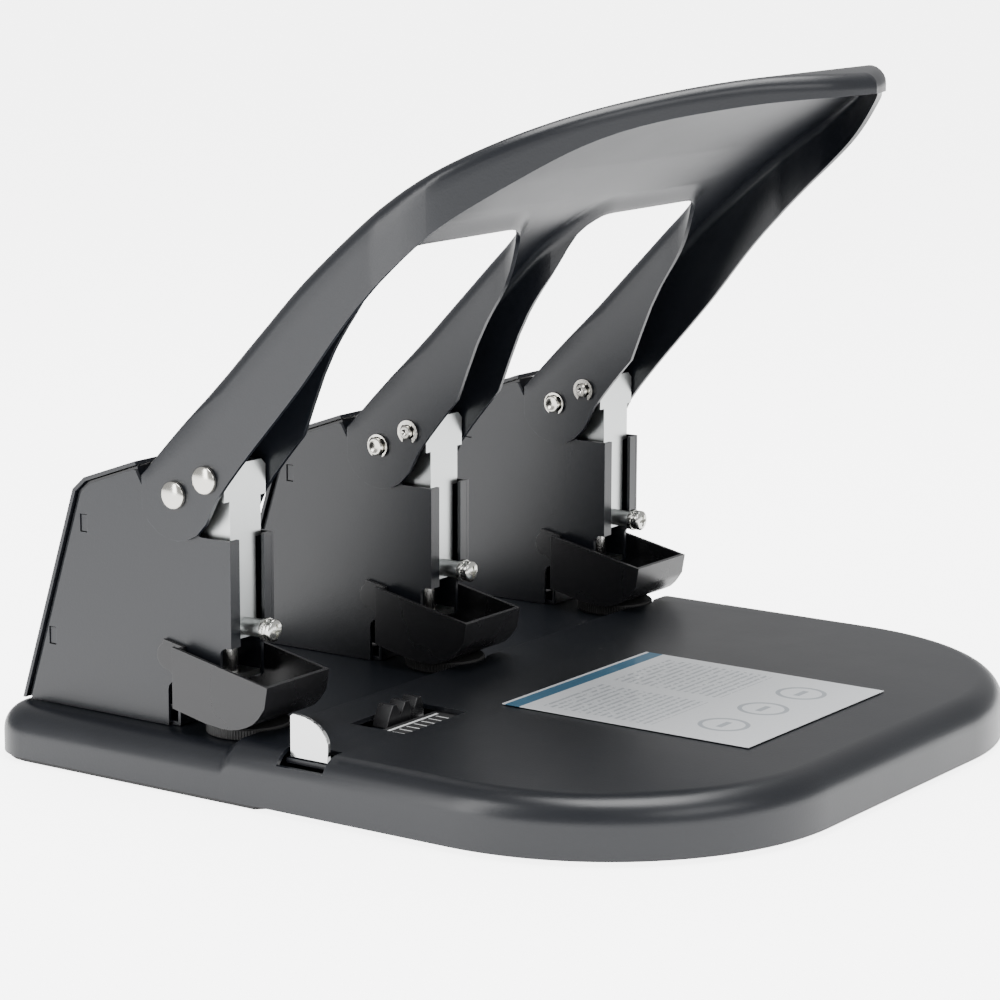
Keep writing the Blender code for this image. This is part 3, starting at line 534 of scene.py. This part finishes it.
def label_print():
    """Paper with a dark bar, two columns of broken grey lines and three plain diagrams."""
    material = bpy.data.materials.new("label_print")
    material.use_nodes = True
    tree = material.node_tree
    shader = tree.nodes["Principled BSDF"]
    shader.inputs["Coat Weight"].default_value = 0.25
    place = tree.nodes.new("ShaderNodeTexCoord")
    split = tree.nodes.new("ShaderNodeSeparateXYZ")
    tree.links.new(place.outputs["Object"], split.inputs[0])
    # across and along run from 0 to 1 over the label, along towards its rear edge
    across = math_node(tree, "DIVIDE", math_node(tree, "SUBTRACT", split.outputs["X"], label_low.x * MM),
                       (label_high.x - label_low.x) * MM)
    along = math_node(tree, "DIVIDE", math_node(tree, "SUBTRACT", split.outputs["Y"], label_low.y * MM),
                      (label_high.y - label_low.y) * MM)
    header = band(tree, along, 0.925, 0.985)
    line_phase = math_node(tree, "FRACT", math_node(tree, "MULTIPLY", along, 34.0), 0)
    rows = math_node(tree, "LESS_THAN", line_phase, 0.42)
    words = tree.nodes.new("ShaderNodeTexNoise")
    words.inputs["Scale"].default_value = 1.0
    stretched = tree.nodes.new("ShaderNodeVectorMath")
    stretched.operation = "MULTIPLY"
    stretched.inputs[1].default_value = (700.0, 380.0, 1.0)
    tree.links.new(place.outputs["Object"], stretched.inputs[0])
    tree.links.new(stretched.outputs["Vector"], words.inputs["Vector"])
    inked = math_node(tree, "GREATER_THAN", words.outputs["Fac"], 0.44)
    columns = math_node(tree, "ADD", band(tree, across, 0.06, 0.46), band(tree, across, 0.54, 0.94))
    block = math_node(tree, "MULTIPLY", band(tree, along, 0.42, 0.88), columns)
    text = math_node(tree, "MULTIPLY", math_node(tree, "MULTIPLY", rows, inked), block)
    shapes = None
    for centre in (0.22, 0.50, 0.78):
        dx = math_node(tree, "SUBTRACT", across, centre)
        dy = math_node(tree, "SUBTRACT", along, 0.22)
        reach = math_node(tree, "SQRT", math_node(
            tree, "ADD", math_node(tree, "MULTIPLY", dx, dx), math_node(tree, "MULTIPLY", dy, dy)), 0)
        ring = band(tree, reach, 0.075, 0.092)
        bar = math_node(tree, "MULTIPLY", band(tree, dx, -0.04, 0.04), band(tree, dy, -0.012, 0.012))
        shape = math_node(tree, "MAXIMUM", ring, bar)
        shapes = shape if shapes is None else math_node(tree, "MAXIMUM", shapes, shape)
    ink = math_node(tree, "MAXIMUM", math_node(tree, "MULTIPLY", text, 0.6),
                    math_node(tree, "MULTIPLY", shapes, 0.7))
    paper_tone = tree.nodes.new("ShaderNodeTexNoise")
    paper_tone.inputs["Scale"].default_value = 60.0
    base = tree.nodes.new("ShaderNodeMix")
    base.data_type = "RGBA"
    base.inputs["A"].default_value = (0.70, 0.72, 0.74, 1.0)
    base.inputs["B"].default_value = (0.78, 0.80, 0.82, 1.0)
    tree.links.new(paper_tone.outputs["Fac"], base.inputs["Factor"])
    printed = tree.nodes.new("ShaderNodeMix")
    printed.data_type = "RGBA"
    printed.inputs["B"].default_value = (0.22, 0.25, 0.29, 1.0)
    tree.links.new(ink, printed.inputs["Factor"])
    tree.links.new(base.outputs["Result"], printed.inputs["A"])
    barred = tree.nodes.new("ShaderNodeMix")
    barred.data_type = "RGBA"
    barred.inputs["B"].default_value = (0.03, 0.13, 0.22, 1.0)
    tree.links.new(header, barred.inputs["Factor"])
    tree.links.new(printed.outputs["Result"], barred.inputs["A"])
    tree.links.new(barred.outputs["Result"], shader.inputs["Base Color"])
    sheen = tree.nodes.new("ShaderNodeMapRange")
    sheen.inputs["To Min"].default_value = 0.38
    sheen.inputs["To Max"].default_value = 0.50
    tree.links.new(paper_tone.outputs["Fac"], sheen.inputs["Value"])
    tree.links.new(sheen.outputs["Result"], shader.inputs["Roughness"])
    return material


dress("label", label_print(), relief(0.1, 1))

# --- Towers ------------------------------------------------------------------------------
# Each head is a box of two bent side plates and a strip behind, hooked together through
# slots. A small angle inside is the paper stop, and a drilled bar guides the pin.
zinc = surface("zinc_plate", dark=(0.48, 0.50, 0.50), light=(0.66, 0.68, 0.67),
               worn_and_sheen=(0.80, 0.82, 0.82), rough=(0.24, 0.38),
               grain=500, bump=0.15, wear_and_highlight=0.4, metallic=1.0, stretch=(1.0, 1.0, 0.12))
sheet_edge = relief(0.3)
RETURN_HALF = 9.4
for n in HEADS:
    for side in ("left", "right"):
        dress(f"side_plate_{side}_{n}", powder_coat, sheet_edge)
    dress(f"back_strip_{n}", powder_coat, sheet_edge)
    dress(f"paper_stop_{n}", powder_coat, sheet_edge)
    # the strip's inner return closes the joint between it and the plates
    strip_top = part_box(f"back_strip_{n}")[1].z / MM
    seam = [(88.0, deck_z + 0.6), (64.3, 90.6), (60.1, 94.2), (39.2, strip_top - 1.9)]
    seam += [(38.6, strip_top - 5.6), (58.0, 90.6), (61.3, 88.0), (84.2, deck_z + 0.6)]
    returned = extruded("X", [(u + flange_y, z) for u, z in seam],
                        head_x[n] - RETURN_HALF, head_x[n] + RETURN_HALF)
    put(f"strip_return_{n}", returned, powder_coat, "base")
    dress(f"pin_guide_{n}", zinc, relief(0.15))

# --- Drivers and punch pins --------------------------------------------------------------
# A bent, zinc plated carrier slides down the front of each tower. A ground, hollow steel pin
# is held in its lower block.
pin_steel = surface("ground_steel", dark=(0.62, 0.61, 0.59), light=(0.74, 0.73, 0.70),
                    worn_and_sheen=(0.85, 0.85, 0.84), rough=(0.10, 0.20),
                    grain=900, bump=0.1, wear_and_highlight=0.2, metallic=1.0, stretch=(1.0, 1.0, 4.0))
for n in HEADS:
    dress(f"driver_{n}", zinc, relief(0.25))
    low, high = (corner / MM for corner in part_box(f"punch_pin_{n}"))
    radius = (high.x - low.x) / 2
    centre = (head_x[n], (low.y + high.y) / 2)
    bm = bmesh.new()
    rings = []
    bore = radius - 1.3
    for r, z in ((bore, low.z), (radius - 0.25, low.z), (radius, low.z + 0.25),
                 (radius, high.z - 0.3), (radius - 0.3, high.z), (bore, high.z)):
        rings.append([bm.verts.new((x, y, z)) for x, y in arc(centre, r, 0, 352.5, 47)])
    rings.append(rings[0])
    bridge(bm, rings)
    bmesh.ops.recalc_face_normals(bm, faces=bm.faces)
    put(f"hollow_pin_{n}", bm, pin_steel, f"punch_{n}", (f"punch_pin_{n}",))


def spun(profile, origin, axis, segments=40):
    """Turn (radius, height) points about an axis through a point; the ends close at radius 0."""
    bm = bmesh.new()
    toward = Vector(axis).normalized()
    side = toward.orthogonal().normalized()
    third = toward.cross(side)
    rings = []
    for r, h in profile:
        if r == 0:
            rings.append([bm.verts.new(Vector(origin) + toward * h)])
            continue
        ring = []
        for k in range(segments):
            a = 2 * math.pi * k / segments
            around = (side * math.cos(a) + third * math.sin(a)) * r
            ring.append(bm.verts.new(Vector(origin) + toward * h + around))
        rings.append(ring)
    for lower, upper in zip(rings, rings[1:]):
        for k in range(segments):
            j = (k + 1) % segments
            if len(lower) == 1:
                bm.faces.new((lower[0], upper[k], upper[j]))
            elif len(upper) == 1:
                bm.faces.new((lower[k], lower[j], upper[0]))
            else:
                bm.faces.new((lower[k], lower[j], upper[j], upper[k]))
    bmesh.ops.recalc_face_normals(bm, faces=bm.faces)
    return bm


# --- Clamp screws ------------------------------------------------------------------------
# A pan head screw with a cross recess holds each pin, over a split spring washer and a flat
# washer. All three are bright zinc plated.
screw_zinc = surface("screw_zinc", dark=(0.60, 0.60, 0.57), light=(0.76, 0.76, 0.72),
                     worn_and_sheen=(0.88, 0.88, 0.86), rough=(0.14, 0.26),
                     grain=700, bump=0.1, wear_and_highlight=0.3, metallic=1.0)
HEAD_TALL = 2.2
SHANK_R = 1.6
for n in HEADS:
    low, high = (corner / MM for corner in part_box(f"clamp_screw_{n}"))
    head_r = (high.x - low.x) / 2
    centre = (head_x[n], low.y, (low.z + high.z) / 2)
    length = high.y - low.y
    turns = [math.radians(10 * k) for k in range(10)]
    dome = [(head_r * math.sin(a), 1.1 * (1 - math.cos(a))) for a in turns]
    shank = [(head_r, HEAD_TALL), (SHANK_R, HEAD_TALL), (SHANK_R, length), (0, length)]
    screw = solid(f"pan_screw_{n}", spun(dome + shank, centre, (0, 1, 0)))
    for wide, tall in ((2.1, 0.55), (0.55, 2.1)):
        x, y, z = centre
        cross = [(x - wide, z - tall), (x + wide, z - tall), (x + wide, z + tall), (x - wide, z + tall)]
        carve(screw, solid("cross", extruded("Y", cross, y - 1, y + 1.3)))
    hand_over(screw, screw_zinc, f"punch_{n}", (f"clamp_screw_{n}",))
    dress(f"screw_washer_{n}", screw_zinc, relief(0.15))

# --- Cross pins and clips ----------------------------------------------------------------
# Each pivot pin and drive pin has a domed nickel head on one side. On the other a spring
# steel clip snaps into a groove near its dimpled end.
nickel = surface("nickel", dark=(0.62, 0.60, 0.55), light=(0.74, 0.72, 0.67),
                 worn_and_sheen=(0.86, 0.84, 0.80), rough=(0.12, 0.22),
                 grain=600, bump=0.08, wear_and_highlight=0.2, metallic=1.0)
SHANK_RADII = {"pivot": 3.0, "drive": 2.3}
PIN_GAP = 0.3
for n in HEADS:
    out = -1 if n == HEADS[0] else 1
    for word, body in (("pivot", "base"), ("drive", "lever")):
        low, high = (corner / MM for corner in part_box(f"{word}_pin_{n}"))
        clip_low, clip_high = (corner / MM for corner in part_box(f"{word}_clip_{n}"))
        radius = SHANK_RADII[word]
        head_r = (high.y - low.y) / 2
        crown = low.x if out < 0 else high.x
        centre = (crown, (low.y + high.y) / 2, (low.z + high.z) / 2)
        length = high.x - low.x
        turns = [math.radians(9 * k) for k in range(11)]
        dome = [(head_r * math.sin(a), 1.3 * (1 - math.cos(a))) for a in turns]
        end = [(head_r, HEAD_TALL), (radius, HEAD_TALL), (radius, length - 0.4), (radius - 0.4, length),
               (radius * 0.5, length), (0, length - 0.9)]
        pin = spun(dome + end, centre, (-out, 0, 0))
        put(f"{word}_rivet_{n}", pin, nickel, body, (f"{word}_pin_{n}",))
        ring_r = (clip_high.y - clip_low.y) / 2
        bore = radius + PIN_GAP
        middle_yz = ((clip_low.y + clip_high.y) / 2, (clip_low.z + clip_high.z) / 2)
        outline = arc(middle_yz, ring_r, -60, 240, 40)
        # the clip's bore alternates between three teeth that grip the groove and the gaps between them
        for start, stop in ((225, 165), (120, 60), (15, -45)):
            outline += arc(middle_yz, bore, start, stop, 6)
            if stop > -45:
                outline += arc(middle_yz, bore + 0.45, stop - 8, stop - 37, 5)
        clip = extruded("X", outline, clip_low.x + 0.1, clip_high.x - 0.1)
        put(f"{word}_ring_clip_{n}", clip, nickel, body, (f"{word}_clip_{n}",))
    dress(f"return_spring_{n}", pin_steel, relief(0.05, 1, 70))

# --- Chip trays --------------------------------------------------------------------------
# A glossy black moulding hangs between the plates of each tower on two ears. Its rim is thin, and the light
# it catches is a painted highlight: a lighter edge colour.
# the grey edge colour on this black plastic is mostly a painted highlight on the rim
tray_plastic = surface("tray_plastic", dark=(0.009, 0.009, 0.010), light=(0.014, 0.014, 0.016),
                       worn_and_sheen=(0.10, 0.10, 0.10), rough=(0.22, 0.32),
                       grain=700, bump=0.12, wear_and_highlight=0.5)
for n in HEADS:
    dress(f"chip_tray_{n}", tray_plastic, relief(0.35, 3, 30))

# --- Cutting discs -----------------------------------------------------------------------
# A matt plastic disc lies in a pocket under each pin. It has a finely ribbed edge, and it is
# turned to bring fresh plastic under the pin.
disc_plastic = surface("disc_plastic", dark=(0.013, 0.013, 0.013), light=(0.020, 0.020, 0.020),
                       worn_and_sheen=(0.05, 0.05, 0.05), rough=(0.55, 0.68),
                       grain=1100, bump=0.4, wear_and_highlight=0.2)
RIBS = 90
RIB_DEPTH = 0.25
RIM_TALL = 3.5
STEM_LONG = 10.9
for n in HEADS:
    low, high = (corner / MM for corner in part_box(f"cutting_disc_{n}"))
    bm = bmesh.new()
    rings = []
    outer = disc_r - 0.02
    rim_low = high.z - RIM_TALL
    for r, z, cut in ((outer, rim_low, 1), (outer, high.z - 0.5, 1),
                      (outer - 0.5, high.z, 0), (outer - 3, high.z, 0)):
        ring = []
        for k in range(RIBS * 2):
            a = math.pi * k / RIBS
            reach = r - RIB_DEPTH * cut * (k % 2)
            ring.append(bm.verts.new((head_x[n] + reach * math.cos(a), disc_y + reach * math.sin(a), z)))
        rings.append(ring)
    bridge(bm, rings)
    bm.faces.new(rings[0][::-1])
    bm.faces.new(rings[-1])
    bmesh.ops.recalc_face_normals(bm, faces=bm.faces)
    put(f"ribbed_disc_{n}", bm, disc_plastic, f"disc_{n}",
        (f"cutting_disc_{n}",))
    stem = spun([(0, 0), (STEM_R, 0), (STEM_R, -9.0), (STEM_R - 1, -STEM_LONG), (0, -STEM_LONG)],
                (head_x[n], disc_y, rim_low), (0, 0, 1), 32)
    put(f"disc_stem_{n}", stem, disc_plastic, f"disc_{n}")

# --- Side guide --------------------------------------------------------------------------
# A polished quarter plate stands at the left edge on a bar under the table. The bar's ribbed
# thumb piece shows in a window beside a printed scale.
polished = surface("polished_plate", dark=(0.70, 0.71, 0.71), light=(0.80, 0.81, 0.81),
                   worn_and_sheen=(0.90, 0.90, 0.90), rough=(0.10, 0.20),
                   grain=400, bump=0.06, wear_and_highlight=0.2, metallic=1.0)
plate_low, plate_high = (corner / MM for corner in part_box("guide_plate"))
corner_z = plate_low.z + 5.4
reach, climb = plate_high.y - plate_low.y, plate_high.z - corner_z
quarter = [(plate_low.y, plate_low.z), (plate_high.y, plate_low.z), (plate_high.y, plate_high.z - 0.8)]
quarter += [(plate_high.y - 1.0 - (reach - 1.0) * math.sin(a), corner_z + climb * math.cos(a))
            for a in (math.radians(90 * k / 14) for k in range(15))]
plate = put("quarter_plate", extruded("X", quarter, plate_low.x, plate_high.x), polished,
            "side_guide", ("guide_plate",))
plate_edge = plate.modifiers.new("round", "BEVEL")
plate_edge.width = 0.15 * MM
plate_edge.segments = 2
plate_edge.limit_method = "ANGLE"
plate_edge.angle_limit = math.radians(50)
dress("guide_rivet", polished, relief(0.1))
dress("guide_bar", powder_coat, relief(0.2))
dress("guide_thumb", tray_plastic, relief(0.25))


def scale_print():
    """Dark plastic with a row of white ticks and a rule, and no figures."""
    material = bpy.data.materials.new("scale_print")
    material.use_nodes = True
    tree = material.node_tree
    shader = tree.nodes["Principled BSDF"]
    place = tree.nodes.new("ShaderNodeTexCoord")
    split = tree.nodes.new("ShaderNodeSeparateXYZ")
    tree.links.new(place.outputs["Object"], split.inputs[0])
    x = math_node(tree, "DIVIDE", math_node(tree, "SUBTRACT", split.outputs["X"], strip_low.x * MM),
                  (strip_high.x - strip_low.x) * MM)
    y = math_node(tree, "DIVIDE", math_node(tree, "SUBTRACT", split.outputs["Y"], strip_low.y * MM),
                  (strip_high.y - strip_low.y) * MM)
    tick_phase = math_node(tree, "FRACT", math_node(tree, "MULTIPLY", x, 10.0), 0)
    tick = math_node(tree, "LESS_THAN", tick_phase, 0.14)
    ticks = math_node(tree, "MULTIPLY", math_node(tree, "MULTIPLY", tick, band(tree, y, 0.25, 0.72)),
                      band(tree, x, 0.12, 0.88))
    lines = math_node(tree, "MULTIPLY", band(tree, y, 0.78, 0.86), band(tree, x, 0.12, 0.88))
    ink = math_node(tree, "MAXIMUM", ticks, lines)
    worn_and_sheen = tree.nodes.new("ShaderNodeTexNoise")
    worn_and_sheen.inputs["Scale"].default_value = 900.0
    tone = tree.nodes.new("ShaderNodeMix")
    tone.data_type = "RGBA"
    tone.inputs["A"].default_value = (0.012, 0.012, 0.013, 1.0)
    tone.inputs["B"].default_value = (0.019, 0.019, 0.020, 1.0)
    tree.links.new(worn_and_sheen.outputs["Fac"], tone.inputs["Factor"])
    mix = tree.nodes.new("ShaderNodeMix")
    mix.data_type = "RGBA"
    mix.inputs["B"].default_value = (0.75, 0.76, 0.76, 1.0)
    tree.links.new(ink, mix.inputs["Factor"])
    tree.links.new(tone.outputs["Result"], mix.inputs["A"])
    tree.links.new(mix.outputs["Result"], shader.inputs["Base Color"])
    gloss = tree.nodes.new("ShaderNodeMapRange")
    gloss.inputs["To Min"].default_value = 0.45
    gloss.inputs["To Max"].default_value = 0.6
    tree.links.new(worn_and_sheen.outputs["Fac"], gloss.inputs["Value"])
    tree.links.new(gloss.outputs["Result"], shader.inputs["Roughness"])
    return material


dress("scale_strip", scale_print(), relief(0.1, 1))

# --- Lever -------------------------------------------------------------------------------
# One sheet of steel is pressed into a wide curved handle. Its edges are rounded over into
# flanges, and two windows leave three legs that straddle the towers.
lever_low, lever_high = (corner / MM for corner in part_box("handle"))
pivot = [value / MM for value in joints["lever_swing"]["pos_m"]]
SHEET = 1.5
ROUND = 4.5
LEG = 26.0
LOBE = 15.0
REAR = 34.5
TIP = -162.0
WINDOW_FRONT = -44.5
TRIM_FRONT = -62.0
TRIM_REAR = -10.0
UNDER_END = (-1.0, 101.0)
pitch = head_x[2] - head_x[1]
span = lever_high.x - lever_low.x


def curve_through(points, steps):
    """A Catmull-Rom line through points."""
    ends = [points[0], *points, points[-1]]
    line = []
    for p0, p1, p2, p3 in zip(ends, ends[1:], ends[2:], ends[3:]):
        for k in range(steps):
            t = k / steps
            line.append(tuple(
                0.5 * (2 * b + (c - a) * t + (2 * a - 5 * b + 4 * c - d) * t * t
                       + (3 * b - a - 3 * c + d) * t ** 3) for a, b, c, d in zip(p0, p1, p2, p3)))
    return [*line, points[-1]]


# u is measured from the towers' front flange, positive to the rear
lever_top = curve_through([(-164.0, 229.0), (-140.0, 228.8), (-115.0, 222.0), (-90.0, 210.4), (-62.0, 193.6),
                           (-33.0, 169.8), (-13.0, 149.8), (8.0, 128.0), (24.5, 111.4), (34.5, 100.8)], 6)
lever_under = curve_through([UNDER_END, (-10.0, 111.5), (-30.0, 134.0), (-50.0, 158.5), (-72.0, 180.0),
                             (-95.0, 197.5), (-118.0, 213.5), (-140.0, 220.5), (-164.0, 223.0)], 6)


lobe_u, lobe_z = pivot[1] - flange_y, pivot[2]
lever_low_line = [(-200.0, 223.0), *sorted(lever_under)]
flange_trim = sorted(curve_through([(TRIM_REAR, 108.0), (-21.0, 136.0), (-33.0, 156.0), (-44.0, 176.0),
                                    (TRIM_FRONT, 184.0)], 6))
top_line = sorted(lever_top)


def height_on(line, u):
    """The height of a line of (u, z) points at u."""
    if u <= line[0][0]:
        return line[0][1]
    for (a, low), (b, high) in zip(line, line[1:]):
        if a <= u <= b:
            return low + (high - low) * (u - a) / max(b - a, 1e-9)
    return line[-1][1]


def flange_foot(u, inner):
    """How far down a flange reaches: the swept line in front, the round lobe at the pivot."""
    under_u, under_z = UNDER_END
    lobe_front = lobe_u - LOBE + 0.3
    if u > lobe_front:
        foot = lobe_z - math.sqrt(max(LOBE ** 2 - (u - lobe_u) ** 2, 0.0))
    elif u > under_u:
        share = (u - under_u) / (lobe_front - under_u)
        foot = under_z + (lobe_z - 2.9 - under_z) * share
    else:
        foot = height_on(lever_low_line, u)
    if inner and u < TRIM_REAR:
        foot = max(foot, height_on(flange_trim, u))
    return foot


def outer_chain():
    """The lever's plan from the right leg's rear, round the point, to the left leg's rear."""
    half = span / 2
    side = curve_through([(half, -58.0), (half * 0.97, -80.0), (half * 0.86, -100.0), (half * 0.66, -120.0),
                          (half * 0.37, -139.0), (half * 0.14, -156.0), (0, TIP)], 6)
    right = [(half, REAR), (half, 0.0), (half, -30.0), *side[:-1]]
    return right + [(0, TIP)] + [(-x, u) for x, u in reversed(right)]


def window_chain(side):
    """A window's edge from one leg's rear, round its front, to the next leg's rear."""
    middle, wide, r = side * pitch / 2, (pitch - LEG) / 2, 18.0
    left = arc((middle - wide + r, WINDOW_FRONT + r), r, 180, 270, 10)
    right = arc((middle + wide - r, WINDOW_FRONT + r), r, 270, 360, 10)
    return [(middle - wide, REAR), *left, *right, (middle + wide, REAR)]


def moved_in(chain, distance):
    """A chain shifted sideways, to its left as it runs, with its ends kept at the rear."""
    moved = []
    for i, (x, u) in enumerate(chain):
        before, after = Vector(chain[max(i - 1, 0)]), Vector(chain[min(i + 1, len(chain) - 1)])
        run = (after - before).normalized()
        moved.append((x + run.y * distance, u - run.x * distance))
    return moved


def lever_sheet():
    """The outer face of the sheet, drawn flat and cut into stations, then lifted to its curve."""
    bm = bmesh.new()
    rims = []
    for chain, inner in ((outer_chain(), False), (window_chain(-1), True), (window_chain(1), True)):
        rows = [[(x, u, -ROUND - t) for x, u in chain] for t in (1.0, 0.75, 0.5, 0.25)]
        for k in range(7):
            a = math.radians(15 * k)
            shifted = moved_in(chain, ROUND * (1 - math.cos(a)))
            rows.append([(x, u, -ROUND * (1 - math.sin(a))) for x, u in shifted])
        verts = [[bm.verts.new(spot) for spot in row] for row in rows]
        for lower, upper in zip(verts, verts[1:]):
            for i in range(len(chain) - 1):
                bm.faces.new((lower[i], lower[i + 1], upper[i + 1], upper[i])).material_index = int(inner)
        rims.append(verts[-1])
    bm.faces.new(rims[0] + rims[1] + rims[2])
    station = -160.0
    while station < REAR - 1:
        bmesh.ops.bisect_plane(bm, geom=bm.verts[:] + bm.edges[:] + bm.faces[:], dist=0.0005,
                               plane_co=(0, station, 0), plane_no=(0, 1, 0))
        station += 4.0
    inner_verts = {v for face in bm.faces if face.material_index for v in face.verts}
    for v in bm.verts:
        x, u, flat = v.co
        top = height_on(top_line, u)
        slope = (height_on(top_line, u + 1) - height_on(top_line, u - 1)) / 2
        # the round tightens towards the pivots, to clear the plates inside the leg
        tighten = 1 - 0.7 * min(1.0, max(0.0, u / 14.0))
        edge = ROUND * tighten * (math.sqrt(1 + slope * slope) if u < REAR - 1 else 1.0)
        foot = flange_foot(u, v in inner_verts)
        if flat >= -ROUND - 1e-6:
            z = top + flat * edge / ROUND
        else:
            start = min(top, max(top - edge, foot))
            z = start + (foot - start) * (-flat - ROUND)
        v.co = (x, u + flange_y, max(z, foot) if flat < 0 else z)
    for face in bm.faces:
        face.material_index = 0
    bmesh.ops.triangulate(bm, faces=[face for face in bm.faces if len(face.verts) > 4])
    bmesh.ops.remove_doubles(bm, verts=bm.verts, dist=0.01)
    bmesh.ops.recalc_face_normals(bm, faces=bm.faces)
    crown = max(bm.faces, key=lambda face: face.calc_center_median().z)
    if crown.normal.z < 0:
        bmesh.ops.reverse_faces(bm, faces=bm.faces)
    return bm


lever = solid("lever_shell", lever_sheet())
thicken = lever.modifiers.new("thicken", "SOLIDIFY")
thicken.thickness = SHEET * MM
thicken.offset = -1.0
settle(lever)
for n in HEADS:
    for word, radius in SHANK_RADII.items():
        low, high = (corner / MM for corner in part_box(f"{word}_pin_{n}"))
        hole = arc(((low.y + high.y) / 2, (low.z + high.z) / 2), radius + PIN_GAP, 0, 350, 35)
        reach = LEG / 2 + 2
        carve(lever, solid("hole", extruded("X", hole, head_x[n] - reach, head_x[n] + reach)))
hand_over(lever, powder_coat, "lever", ("handle",))

new_low, new_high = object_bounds()
for built, planned in ((new_low, cad_low), (new_high, cad_high)):
    assert (built - planned).length < 8 * MM, "a large piece is missing or misplaced"
